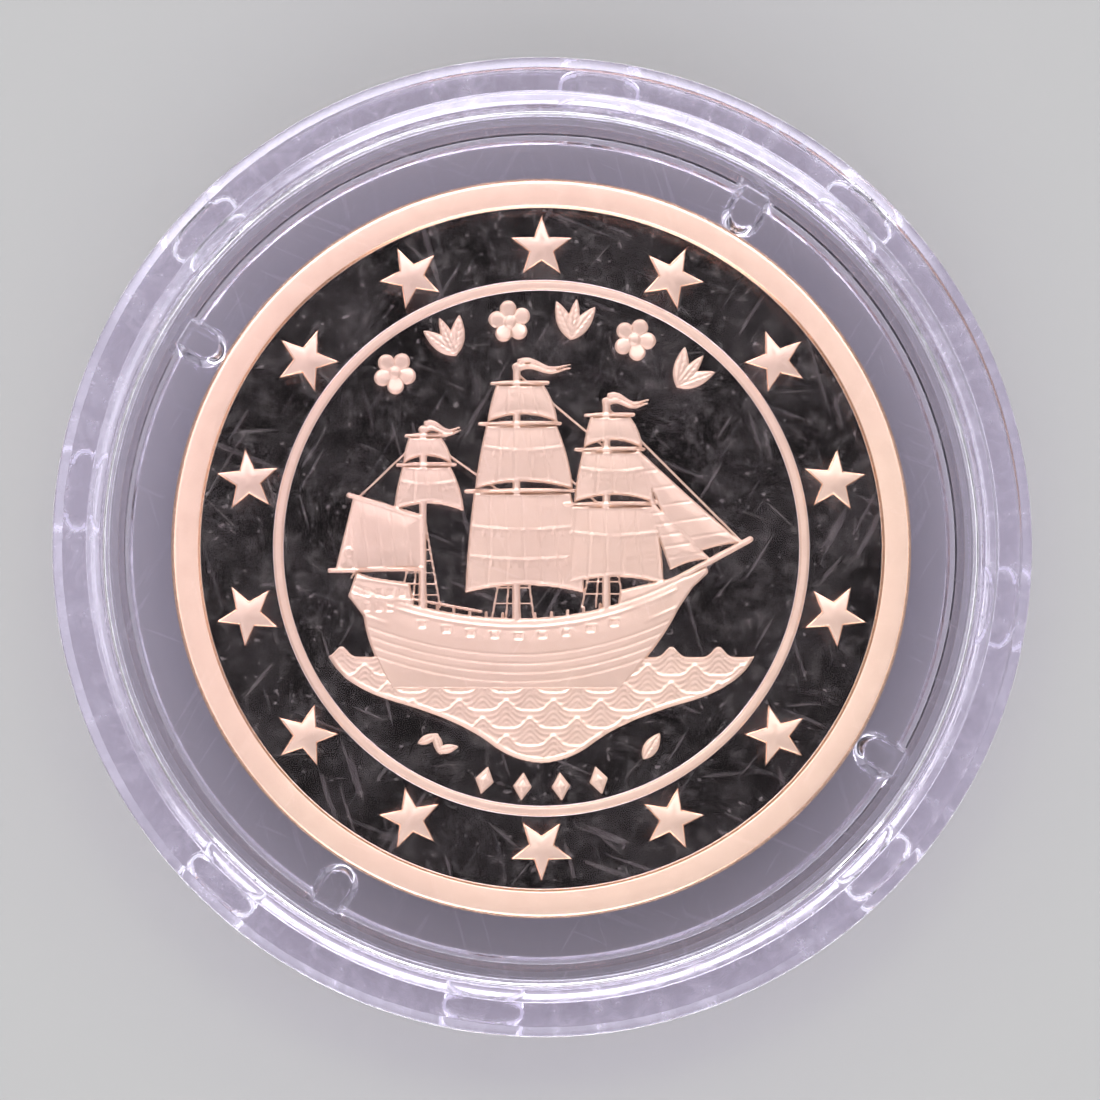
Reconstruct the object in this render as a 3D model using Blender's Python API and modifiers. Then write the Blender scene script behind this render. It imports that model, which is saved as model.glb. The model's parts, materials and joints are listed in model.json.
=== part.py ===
"""Clear two-shell coin capsule with a struck coin inside.

Metres, +Z up. The origin is the centre of the underside, on the capsule's
axis, so the capsule rests on z = 0. Three separate pieces: base_shell (male
half, with the four locating tabs), lid_shell (female half) and coin.
"""

import math

import bmesh
import bpy

MM = 0.001

# All sizes are in millimetres and all angles in degrees unless noted.

# ---- meshing ----------------------------------------------------------------
TURN_STEPS = 96               # segments round every turned piece
EDGE_SEGMENTS = 2             # segments in each rounded outer edge
TAB_TIP_SEGMENTS = 10
PIN_ARC_SEGMENTS = 4
SHARP_ANGLE = 30.0            # edges steeper than this are shaded sharp
AXIS_MERGE_M = 1e-6           # metres: merges the turned ends on the axis
WELD_M = 1e-7                 # metres: welds coincident vertices

# ---- capsule ----------------------------------------------------------------
OUTER_R = 14.0
HEIGHT = 5.30                 # closed height
EDGE_ROUND = 0.30             # rounding of the outer top and bottom edges
LAND_IN_R = 13.02             # inner edge of the raised rim's flat land
WINDOW_R = 12.64              # foot of the slope that drops to the window
RECESS = 0.25                 # window face below the rim's land
WINDOW_T = 1.40               # window thickness, the same in both shells

FLOOR_Z = RECESS + WINDOW_T   # inside floor of the base
CEILING_Z = HEIGHT - FLOOR_Z  # inside face of the lid
CAVITY_FOOT_R = 11.77         # cavity radius at the floor
CAVITY_TOP_R = 12.13          # and at the spigot's lip: the wall is drafted

PART_Z = 2.20                 # top face of the base's flange
SEAM_GAP = 0.06               # hairline seam between flange and skirt
SKIRT_Z = PART_Z + SEAM_GAP   # bottom face of the lid's skirt
NAIL_CHAMFER = 0.20           # chamfer each side of the seam, for a fingernail

# ---- spigot ring on the base and its bore in the lid ------------------------
SPIGOT_FOOT_R = 12.50         # outside of the spigot at the flange
SPIGOT_TOP_R = 12.38          # and at its lip: drafted for the push fit
SPIGOT_TOP_Z = CEILING_Z - 0.08
SPIGOT_LEAD = 0.08            # chamfer on the spigot's outer lip
FIT_GAP = 0.04                # radial gap that stands in for the friction fit
MOUTH_R = SPIGOT_FOOT_R + FIT_GAP
MOUTH_CHAMFER = 0.08          # chamfer at the open end of the lid's bore
BORE_TOP_R = SPIGOT_TOP_R + FIT_GAP
BORE_CORNER = 0.05            # bevel where the bore meets the ceiling

# ---- coin -------------------------------------------------------------------
COIN_R = 10.625
COIN_T = 1.67
COIN_Z = FLOOR_Z + 0.05       # stands just clear of the floor
COIN_TOP_Z = COIN_Z + COIN_T
COIN_CHAMFER = 0.12
RIM_IN_R = 9.79               # inner edge of the coin's rim
RIM_H = 0.14                  # rim above the mirror field
RIM_SLOPE = 0.06              # radial run of the rim's inner side
FIELD_Z = COIN_TOP_Z - RIM_H  # mirror field on the upper face

RING_IN_R, RING_OUT_R = 7.41, 7.69
RING_H = 0.06                 # ring above the field
RING_SLOPE = 0.05             # radial run of each side of the ring

STAR_COUNT = 14
STAR_POINTS = 5
STAR_RING_R = 8.62            # capsule axis to star centres
STAR_TIP_R = 0.93             # star centre to tip
STAR_NOTCH_R = STAR_TIP_R * 0.42
STAR_H = 0.08                 # star above the field
STAR_ROOT = 0.15              # depth of each star sunk into the coin

# ---- locating tabs ----------------------------------------------------------
TAB_COUNT = 4
TAB_FIRST_ANGLE = 58.8
TAB_HALF_W = 0.585            # half width at the foot
TAB_DRAFT = 0.20              # sides and tip lean in by this much at the top
TAB_TIP_R = COIN_R + 0.055    # clears the coin's edge
TAB_TIP_CENTRE_R = TAB_TIP_R + TAB_HALF_W
TAB_ROOT_R = 12.20            # buried in the spigot wall
TAB_ROOT_DEPTH = 0.30         # buried in the floor
TAB_TOP_Z = 3.20

# ---- pin marks recessed in the flange and in the skirt ----------------------
PIN_COUNT = 4
PIN_FIRST_ANGLE_LID = 46.6
PIN_FIRST_ANGLE_BASE = 82.8
PIN_RING_R = 13.33            # capsule axis to pin centres
PIN_RADIUS = 1.06
PIN_BAND_HALF = 0.34          # each mark is cut off this far in and out
PIN_DEPTH = 0.08
PIN_OVERSHOOT = 0.5           # cutter past the seam face it cuts


# ---- outlines ---------------------------------------------------------------
def arc(centre_x, centre_y, radius, start, end, segments):
    """Points on an arc in any plane, both ends included."""
    angles = [math.radians(start + (end - start) * i / segments) for i in range(segments + 1)]
    return [
        (centre_x + radius * math.cos(angle), centre_y + radius * math.sin(angle))
        for angle in angles
    ]


def tab_outline():
    """Tongue along +X: straight sides out of the ring wall, round tip facing the coin."""
    tip = arc(TAB_TIP_CENTRE_R, 0.0, TAB_HALF_W, 90, 270, TAB_TIP_SEGMENTS)
    return [(TAB_ROOT_R, TAB_HALF_W)] + tip + [(TAB_ROOT_R, -TAB_HALF_W)]


def tab_taper(x, y):
    """Where a point of the tab's foot outline stands at its top."""
    share = (TAB_HALF_W - TAB_DRAFT) / TAB_HALF_W
    if x < TAB_TIP_CENTRE_R:
        x = TAB_TIP_CENTRE_R + (x - TAB_TIP_CENTRE_R) * share
    return x, y * share


def pin_outline():
    """Pin mark on +X: arcs about the capsule's axis, joined by one point on each side."""

    def half_angle(radius):
        """Angle about the axis at which the pin's circle meets a circle of this radius."""
        cosine = (PIN_RING_R**2 + radius**2 - PIN_RADIUS**2) / (2 * PIN_RING_R * radius)
        return math.degrees(math.acos(cosine))

    outer_r = PIN_RING_R + PIN_BAND_HALF
    inner_r = PIN_RING_R - PIN_BAND_HALF
    outer = half_angle(outer_r)
    inner = half_angle(inner_r)
    return (
        arc(0.0, 0.0, outer_r, -outer, outer, PIN_ARC_SEGMENTS)
        + [(PIN_RING_R, PIN_RADIUS)]
        + arc(0.0, 0.0, inner_r, inner, -inner, PIN_ARC_SEGMENTS)
        + [(PIN_RING_R, -PIN_RADIUS)]
    )


def star_outline():
    """Star on +X, one point away from the coin's centre."""
    points = []
    for i in range(2 * STAR_POINTS):
        radius = STAR_TIP_R if i % 2 == 0 else STAR_NOTCH_R
        angle = math.pi * i / STAR_POINTS
        points.append((STAR_RING_R + radius * math.cos(angle), radius * math.sin(angle)))
    return points


# ---- building helpers -------------------------------------------------------
def clear_scene():
    for obj in list(bpy.data.objects):
        bpy.data.objects.remove(obj, do_unlink=True)


def new_collection(name):
    collection = bpy.data.collections.new(name)
    bpy.context.scene.collection.children.link(collection)
    return collection


def evaluated_mesh(obj, taper=None):
    """A welded copy of the object's evaluated mesh, normals outward.

    taper, if given, moves each vertex above local z = 0.
    """
    bpy.context.view_layer.update()
    graph = bpy.context.evaluated_depsgraph_get()
    mesh = bpy.data.meshes.new_from_object(obj.evaluated_get(graph))
    bm = bmesh.new()
    bm.from_mesh(mesh)
    bmesh.ops.remove_doubles(bm, verts=bm.verts, dist=WELD_M)
    if taper:
        for vert in bm.verts:
            if vert.co.z > 0:
                x, y = taper(vert.co.x / MM, vert.co.y / MM)
                vert.co.x = x * MM
                vert.co.y = y * MM
    bmesh.ops.recalc_face_normals(bm, faces=bm.faces)
    bm.to_mesh(mesh)
    bm.free()
    return mesh


def turned(name, profile, collection, material):
    """A solid turned about Z from an open (r, z) profile that starts and ends on the axis."""
    mesh = bpy.data.meshes.new(name)
    bm = bmesh.new()
    verts = [bm.verts.new((r * MM, 0.0, z * MM)) for r, z in profile]
    for start, end in zip(verts, verts[1:]):
        bm.edges.new((start, end))
    bm.to_mesh(mesh)
    bm.free()
    obj = bpy.data.objects.new(name, mesh)
    collection.objects.link(obj)
    obj.data.materials.append(material)
    screw = obj.modifiers.new("turn", "SCREW")
    screw.axis = "Z"
    screw.angle = math.radians(360.0)
    screw.steps = TURN_STEPS
    screw.render_steps = TURN_STEPS
    screw.use_merge_vertices = True
    screw.merge_threshold = AXIS_MERGE_M
    screw.use_smooth_shade = False

    # Bake the turning, so that the Booleans start from plain geometry.
    solid = evaluated_mesh(obj)
    obj.modifiers.clear()
    obj.data = solid
    return obj


def flat_solid(name, outline, z_low, z_high, collection, angle, taper=None):
    """Hidden Boolean tool: a flat outline extruded in Z, then swung round Z."""
    curve = bpy.data.curves.new(name, "CURVE")
    curve.dimensions = "2D"
    curve.fill_mode = "BOTH"
    curve.extrude = 0.5 * (z_high - z_low) * MM
    spline = curve.splines.new("POLY")
    spline.points.add(len(outline) - 1)
    for point, (x, y) in zip(spline.points, outline):
        point.co = (x * MM, y * MM, 0.0, 1.0)
    spline.use_cyclic_u = True
    guide = bpy.data.objects.new(name + "_outline", curve)
    collection.objects.link(guide)
    mesh = evaluated_mesh(guide, taper)
    bpy.data.objects.remove(guide, do_unlink=True)

    obj = bpy.data.objects.new(name, mesh)
    obj.location = (0.0, 0.0, 0.5 * (z_low + z_high) * MM)
    obj.rotation_euler = (0.0, 0.0, math.radians(angle))
    obj.hide_render = True
    obj.display_type = "WIRE"
    collection.objects.link(obj)
    return obj


def apply_ring(piece, prefix, outline, z_range, count, first_angle, tools,
               operation="UNION", taper=None):
    """Joins to the piece, or cuts from it, equally spaced flat solids round the axis."""
    z_low, z_high = z_range
    for i in range(count):
        angle = first_angle + 360.0 * i / count
        tool = flat_solid(f"{prefix}_{i + 1}", outline, z_low, z_high, tools, angle, taper)
        modifier = piece.modifiers.new(tool.name, "BOOLEAN")
        modifier.operation = operation
        modifier.solver = "EXACT"
        modifier.object = tool


def finish_shading(obj):
    obj.data.shade_smooth()
    obj.data.set_sharp_from_angle(angle=math.radians(SHARP_ANGLE))


def add_lift_axis(piece, collection):
    """Hangs a moving piece on an empty at the origin, on its lift axis."""
    axis = bpy.data.objects.new(piece.name + "_lift_axis", None)
    axis.empty_display_size = 5 * MM
    collection.objects.link(axis)
    piece.parent = axis


# ---- materials --------------------------------------------------------------
def make_material(name, colour, roughness, metallic, transmission, ior):
    material = bpy.data.materials.new(name)
    material.use_nodes = True
    inputs = material.node_tree.nodes["Principled BSDF"].inputs
    inputs["Base Color"].default_value = (*colour, 1.0)
    inputs["Roughness"].default_value = roughness
    inputs["Metallic"].default_value = metallic
    inputs["Transmission Weight"].default_value = transmission
    inputs["IOR"].default_value = ior
    return material


def make_clear_styrene(name):
    return make_material(
        name, colour=(0.90, 0.88, 0.96), roughness=0.04, metallic=0.0, transmission=0.9, ior=1.59
    )


def make_proof_copper():
    return make_material(
        "proof_copper",
        colour=(0.93, 0.66, 0.56), roughness=0.28, metallic=1.0, transmission=0.0, ior=1.45,
    )


# ---- pieces -----------------------------------------------------------------
def make_base(parts, tools):
    """Male shell: recessed window, rim with resting land, flange, spigot ring with tabs."""
    profile = (
        [
            (0.0, FLOOR_Z),
            (CAVITY_FOOT_R, FLOOR_Z),
            (CAVITY_TOP_R, SPIGOT_TOP_Z),
            (SPIGOT_TOP_R - SPIGOT_LEAD, SPIGOT_TOP_Z),
            (SPIGOT_TOP_R, SPIGOT_TOP_Z - SPIGOT_LEAD),
            (SPIGOT_FOOT_R, PART_Z),
            (OUTER_R - NAIL_CHAMFER, PART_Z),
            (OUTER_R, PART_Z - NAIL_CHAMFER),
        ]
        + arc(OUTER_R - EDGE_ROUND, EDGE_ROUND, EDGE_ROUND, 0, -90, EDGE_SEGMENTS)
        + [(LAND_IN_R, 0.0), (WINDOW_R, RECESS), (0.0, RECESS)]
    )
    base = turned("base_shell", profile, parts, make_clear_styrene("clear_styrene_base"))
    tab_z = (FLOOR_Z - TAB_ROOT_DEPTH, TAB_TOP_Z)
    apply_ring(base, "tab", tab_outline(), tab_z, TAB_COUNT, TAB_FIRST_ANGLE, tools,
               taper=tab_taper)
    pin_z = (PART_Z - PIN_DEPTH, PART_Z + PIN_OVERSHOOT)
    apply_ring(base, "base_pin", pin_outline(), pin_z, PIN_COUNT, PIN_FIRST_ANGLE_BASE, tools,
               operation="DIFFERENCE")
    finish_shading(base)


def make_lid(parts, tools):
    """Female shell: recessed window, rim with stacking land, skirt that grips the spigot."""
    profile = (
        [
            (0.0, HEIGHT - RECESS),
            (WINDOW_R, HEIGHT - RECESS),
            (LAND_IN_R, HEIGHT),
        ]
        + arc(OUTER_R - EDGE_ROUND, HEIGHT - EDGE_ROUND, EDGE_ROUND, 90, 0, EDGE_SEGMENTS)
        + [
            (OUTER_R, SKIRT_Z + NAIL_CHAMFER),
            (OUTER_R - NAIL_CHAMFER, SKIRT_Z),
            (MOUTH_R + MOUTH_CHAMFER, SKIRT_Z),
            (MOUTH_R, SKIRT_Z + MOUTH_CHAMFER),
            (BORE_TOP_R, CEILING_Z - BORE_CORNER),
            (BORE_TOP_R - BORE_CORNER, CEILING_Z),
            (0.0, CEILING_Z),
        ]
    )
    lid = turned("lid_shell", profile, parts, make_clear_styrene("clear_styrene_lid"))
    pin_z = (SKIRT_Z - PIN_OVERSHOOT, SKIRT_Z + PIN_DEPTH)
    apply_ring(lid, "lid_pin", pin_outline(), pin_z, PIN_COUNT, PIN_FIRST_ANGLE_LID, tools,
               operation="DIFFERENCE")
    finish_shading(lid)
    return lid


def make_coin(parts, tools):
    """Struck coin: rims on both faces; inner ring and a border of stars on the upper."""
    upper = [
        (0.0, FIELD_Z),
        (RING_IN_R, FIELD_Z),
        (RING_IN_R + RING_SLOPE, FIELD_Z + RING_H),
        (RING_OUT_R - RING_SLOPE, FIELD_Z + RING_H),
        (RING_OUT_R, FIELD_Z),
        (RIM_IN_R, FIELD_Z),
        (RIM_IN_R + RIM_SLOPE, COIN_TOP_Z),
        (COIN_R - COIN_CHAMFER, COIN_TOP_Z),
        (COIN_R, COIN_TOP_Z - COIN_CHAMFER),
    ]
    lower = [
        (COIN_R, COIN_Z + COIN_CHAMFER),
        (COIN_R - COIN_CHAMFER, COIN_Z),
        (RIM_IN_R + RIM_SLOPE, COIN_Z),
        (RIM_IN_R, COIN_Z + RIM_H),
        (0.0, COIN_Z + RIM_H),
    ]
    coin = turned("coin", upper + lower, parts, make_proof_copper())
    star_z = (FIELD_Z - STAR_ROOT, FIELD_Z + STAR_H)
    apply_ring(coin, "star", star_outline(), star_z, STAR_COUNT, 90.0, tools)
    finish_shading(coin)
    return coin


def main():
    clear_scene()
    parts = new_collection("coin_capsule")
    tools = new_collection("joining_shapes")
    make_base(parts, tools)
    lid = make_lid(parts, tools)
    coin = make_coin(parts, tools)
    for piece in (lid, coin):
        add_lift_axis(piece, parts)


main()
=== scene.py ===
"""Looks for a clear coin capsule: two moulded styrene shells round a proof-struck copper coin.

The capsule lies flat on the floor with its axis on Z: base below, lid above, the coin's
ship side facing +Z and upright towards +Y. Sizes are in millimetres, hung on the boxes of
the frame's pieces, and are turned into metres as each mesh is made.
"""

import json
import math

import bmesh
import bpy
import numpy as np
from mathutils import Matrix, Vector

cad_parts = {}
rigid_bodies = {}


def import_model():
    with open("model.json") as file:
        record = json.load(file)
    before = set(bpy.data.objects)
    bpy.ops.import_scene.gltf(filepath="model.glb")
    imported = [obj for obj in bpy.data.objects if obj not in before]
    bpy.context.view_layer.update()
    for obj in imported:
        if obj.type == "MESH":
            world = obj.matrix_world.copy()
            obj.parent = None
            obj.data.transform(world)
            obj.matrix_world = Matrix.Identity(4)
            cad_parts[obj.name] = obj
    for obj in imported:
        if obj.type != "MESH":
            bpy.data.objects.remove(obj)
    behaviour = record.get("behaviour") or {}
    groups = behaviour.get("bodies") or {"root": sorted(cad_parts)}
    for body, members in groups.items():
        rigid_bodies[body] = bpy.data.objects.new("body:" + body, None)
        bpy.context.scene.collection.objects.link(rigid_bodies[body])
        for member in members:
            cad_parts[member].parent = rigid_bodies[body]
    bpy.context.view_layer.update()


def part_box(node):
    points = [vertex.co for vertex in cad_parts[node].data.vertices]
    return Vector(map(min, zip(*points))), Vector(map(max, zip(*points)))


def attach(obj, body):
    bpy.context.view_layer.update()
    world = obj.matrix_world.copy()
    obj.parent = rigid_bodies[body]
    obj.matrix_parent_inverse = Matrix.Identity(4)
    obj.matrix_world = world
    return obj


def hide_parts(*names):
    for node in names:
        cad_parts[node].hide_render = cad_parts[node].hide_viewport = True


for leftover in list(bpy.data.objects):
    bpy.data.objects.remove(leftover, do_unlink=True)
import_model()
MM = 0.001

base_low, base_high = (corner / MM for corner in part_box("base_shell"))
lid_low, lid_high = (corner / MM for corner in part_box("lid_shell"))
coin_low, coin_high = (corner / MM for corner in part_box("coin"))


def quarter_turns(first):
    """Four angles in degrees, a quarter turn apart."""
    return [first + 90.0 * k for k in range(4)]


# ---- shells: levels and radii -------------------------------------------------------
OUTER_R = 14.0                      # the frame's facets inscribe this circle
R_SCALE = lid_high.x / OUTER_R      # 1.0 as long as the frame keeps its size
BOTTOM, TOP = base_low.z, lid_high.z
SPIGOT_TOP = base_high.z
SKIRT_Z = lid_low.z                 # the lid's face at the seam
PART_Z = SKIRT_Z - 0.06             # the base's face at the seam
RECESS = 0.25                       # how far each window lies inside the raised land
WINDOW_T = 1.40
FLOOR_Z = BOTTOM + RECESS + WINDOW_T
CEIL_Z = TOP - RECESS - WINDOW_T
LAND_IN, WINDOW_R = 13.02, 12.64
CAV_FOOT, CAV_TOP = 11.77, 12.13    # the cavity's drafted wall
SPIG_FOOT, SPIG_TOP, FIT = 12.50, 12.38, 0.04

# Four round-ended tabs reach in from the cavity's wall.
TAB_ANGLES = quarter_turns(58.8)
TAB_HALF, TAB_DRAFT, TAB_TIP, TAB_TOP = 0.585, 0.21, 10.68, 3.20
TAB_ROUND = 0.05                    # rounding of a tab's top edge, as a share of its height
WALL_BLEND, FLOOR_BLEND = 0.45, 0.06

# Oval pin marks pressed in the two faces at the seam.
PIN_R, PIN_LONG, PIN_WIDE, PIN_DEPTH = 13.35, 1.12, 0.37, 0.07
PIN_POWER = 2.6                     # exponent of the oval: above 2 fills its corners
PIN_GROOVE = 0.055                  # how wide the pressed line spreads
LID_PINS = quarter_turns(46.6)
BASE_PINS = quarter_turns(82.8)

# Finer angles round the circle, in degrees: offset from the centre, half width, step.
TAB_WINDOW = (0.0, 4.3, 0.17)
PIN_WINDOWS = ((-3.95, 1.35, 0.12), (0.0, 2.6, 0.40), (3.95, 1.35, 0.12))
BASE_COARSE, LID_COARSE = 1.2, 1.0

# ---- coin: levels and radii ---------------------------------------------------------
COIN_R = coin_high.x
COIN_LOW, COIN_TOP = coin_low.z, coin_high.z
RIM_IN, RIM_H = 9.79, 0.14
FIELD_Z = COIN_TOP - RIM_H
BACK_Z = COIN_LOW + RIM_H


# ---- shader node helpers ------------------------------------------------------------
def new_material(name):
    material = bpy.data.materials.new(name)
    material.use_nodes = True
    tree = material.node_tree
    return material, tree, tree.nodes["Principled BSDF"], tree.nodes["Material Output"]


def set_inputs(tree, target, inputs):
    """Sets a node's inputs, by name or number: a socket is linked, anything else is a value."""
    for key, value in inputs.items():
        if isinstance(value, bpy.types.NodeSocket):
            tree.links.new(value, target.inputs[key])
        else:
            target.inputs[key].default_value = value


def add_node(tree, kind, inputs=None, **settings):
    made = tree.nodes.new(kind)
    for key, value in settings.items():
        setattr(made, key, value)
    set_inputs(tree, made, inputs or {})
    return made


def combine(tree, operation, first, second, clamp=False):
    made = add_node(
        tree, "ShaderNodeMath", {0: first, 1: second}, operation=operation, use_clamp=clamp
    )
    return made.outputs[0]


def mm_coordinates(tree, stretch=(1.0, 1.0, 1.0), turn=0.0):
    """Object coordinates in millimetres, turned round Z and then stretched."""
    vector = tree.nodes.new("ShaderNodeTexCoord").outputs["Object"]
    if turn:
        spin = add_node(
            tree,
            "ShaderNodeVectorRotate",
            {"Angle": math.radians(turn), "Vector": vector},
            rotation_type="Z_AXIS",
        )
        vector = spin.outputs["Vector"]
    scale = tuple(1000.0 * k for k in stretch)
    mapping = add_node(tree, "ShaderNodeMapping", {"Scale": scale, "Vector": vector})
    return mapping.outputs["Vector"]


def noise(tree, vector, *, scale, detail, rough=0.55, distortion=0.0):
    inputs = {
        "Scale": scale,
        "Detail": detail,
        "Roughness": rough,
        "Distortion": distortion,
        "Vector": vector,
    }
    return add_node(tree, "ShaderNodeTexNoise", inputs).outputs["Fac"]


def map_range(tree, value, *, source, target, smooth=False):
    """Maps the source pair of values to the target pair."""
    inputs = {
        "Value": value,
        "From Min": source[0],
        "From Max": source[1],
        "To Min": target[0],
        "To Max": target[1],
    }
    kind = "SMOOTHSTEP" if smooth else "LINEAR"
    made = add_node(tree, "ShaderNodeMapRange", inputs, interpolation_type=kind)
    return made.outputs["Result"]


def mix_colour(tree, factor, first, second):
    """Mixes two colours, each a socket or an (r, g, b) tuple."""
    made = add_node(tree, "ShaderNodeMix", data_type="RGBA")
    first, second = (
        (*colour, 1.0) if isinstance(colour, tuple) else colour for colour in (first, second)
    )
    set_inputs(tree, made, {0: factor, 6: first, 7: second})
    return made.outputs[2]


def bump(tree, height, *, strength, distance_mm):
    inputs = {"Strength": strength, "Distance": distance_mm * MM, "Height": height}
    return add_node(tree, "ShaderNodeBump", inputs).outputs["Normal"]


def hairlines(tree, *, scale, threshold, turns):
    """Thin straight scratches: the crests of a noise drawn out along one line for each turn."""
    total = None
    for turn in turns:
        vector = mm_coordinates(tree, stretch=(1.0, 0.055, 0.3), turn=turn)
        wobble = noise(tree, vector, scale=scale, detail=1.0, rough=0.4)
        line = map_range(
            tree, wobble, source=(threshold, threshold + 0.03), target=(0.0, 1.0)
        )
        total = line if total is None else combine(tree, "MAXIMUM", total, line)
    return total


# ---- plastics -----------------------------------------------------------------------
STYRENE_IOR = 1.57


def let_light_in(tree, shader, out):
    """Light reaches what lies inside: shadow and diffuse rays pass through, a little dimmed."""
    path = tree.nodes.new("ShaderNodeLightPath")
    through = add_node(
        tree, "ShaderNodeBsdfTransparent", {"Color": (0.945, 0.935, 0.965, 1.0)}
    )
    soft = combine(
        tree, "MAXIMUM", path.outputs["Is Shadow Ray"], path.outputs["Is Diffuse Ray"]
    )
    choose = add_node(
        tree,
        "ShaderNodeMixShader",
        {"Fac": soft, 1: shader.outputs["BSDF"], 2: through.outputs["BSDF"]},
    )
    tree.links.new(choose.outputs["Shader"], out.inputs["Surface"])


def clear_plastic(name):
    """Clear styrene: a faint violet cast, hairline scratches, slight moulding waviness."""
    material, tree, shader, out = new_material(name)
    grain = mm_coordinates(tree)
    waves = noise(tree, grain, scale=0.35, detail=1.0)
    scratch = hairlines(tree, scale=5.2, threshold=0.705, turns=(31.0, 112.0, 164.0))
    haze = noise(tree, grain, scale=1.1, detail=2.0, rough=0.65)
    rough = combine(
        tree,
        "ADD",
        map_range(tree, haze, source=(0.45, 0.75), target=(0.010, 0.045)),
        combine(tree, "MULTIPLY", scratch, 0.13),
    )
    set_inputs(tree, shader, {
        "Roughness": rough,
        "Normal": bump(tree, waves, strength=0.10, distance_mm=0.02),
        "Base Color": (0.935, 0.912, 0.985, 1.0),
        "Transmission Weight": 1.0,
        "IOR": STYRENE_IOR,
        "Specular IOR Level": 0.55,
        "Specular Tint": (0.90, 0.87, 1.0, 1.0),
    })
    let_light_in(tree, shader, out)
    return material


def parting_plastic_painted_shade(name):
    """The mottled, slightly cloudy finish of the two faces that meet at the seam; their base
    colour, darker than the clear styrene's, is painted shade over the flange.
    """
    material, tree, shader, out = new_material(name)
    grain = mm_coordinates(tree)
    mottle = noise(tree, grain, scale=1.2, detail=4.0, rough=0.62, distortion=0.6)
    fine = noise(tree, grain, scale=6.0, detail=2.0, rough=0.6)
    rough = combine(
        tree,
        "ADD",
        map_range(tree, mottle, source=(0.35, 0.68), target=(0.02, 0.25), smooth=True),
        map_range(tree, fine, source=(0.55, 0.75), target=(0.0, 0.10)),
    )
    set_inputs(tree, shader, {
        "Roughness": rough,
        "Normal": bump(tree, mottle, strength=0.25, distance_mm=0.02),
        # darker violet base colour: painted shade that dims the flange where the two shells meet
        "Base Color": (0.880, 0.835, 0.935, 1.0),
        "Transmission Weight": 0.97,
        "IOR": STYRENE_IOR,
    })
    let_light_in(tree, shader, out)
    return material


def matt_plastic(name):
    """Where a pin pressed the moulding: the same styrene, whitened and slightly rough."""
    material, tree, shader, _ = new_material(name)
    grain = noise(tree, mm_coordinates(tree), scale=14.0, detail=2.0, rough=0.6)
    set_inputs(tree, shader, {
        "Roughness": map_range(tree, grain, source=(0.3, 0.7), target=(0.30, 0.60)),
        "Normal": bump(tree, grain, strength=0.4, distance_mm=0.01),
        "Base Color": (0.82, 0.79, 0.92, 1.0),
        "Transmission Weight": 0.78,
        "IOR": STYRENE_IOR,
    })
    return material


# ---- coppers ------------------------------------------------------------------------
def frosted_copper(name, *, rough, warm, pink):
    """Die-frosted relief: matte copper with a very fine sparkle grain."""
    material, tree, shader, _ = new_material(name)
    grain = mm_coordinates(tree)
    fine = noise(tree, grain, scale=22.0, detail=3.0, rough=0.7)
    broad = noise(tree, grain, scale=0.22, detail=2.0)
    cloud = noise(tree, grain, scale=1.7, detail=4.0, rough=0.6)
    separate = add_node(tree, "ShaderNodeSeparateXYZ", {"Vector": grain})
    # pinker towards -X and +Y, warmer towards +X and -Y
    slope, middle = 0.032, 0.05
    lean = combine(
        tree,
        "ADD",
        combine(tree, "MULTIPLY", separate.outputs["X"], slope),
        combine(tree, "MULTIPLY", separate.outputs["Y"], -slope),
    )
    share = combine(tree, "ADD", combine(tree, "ADD", lean, middle), broad, clamp=True)
    colour = mix_colour(tree, share, pink, warm)
    clouding = map_range(tree, cloud, source=(0.35, 0.75), target=(0.0, 0.20))
    set_inputs(tree, shader, {
        "Base Color": mix_colour(tree, clouding, colour, (0.500, 0.335, 0.235)),
        "Metallic": 1.0,
        "Roughness": map_range(
            tree, fine, source=(0.3, 0.7), target=(rough - 0.06, rough + 0.10)
        ),
        "Normal": bump(tree, fine, strength=0.35, distance_mm=0.012),
    })
    return material


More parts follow.
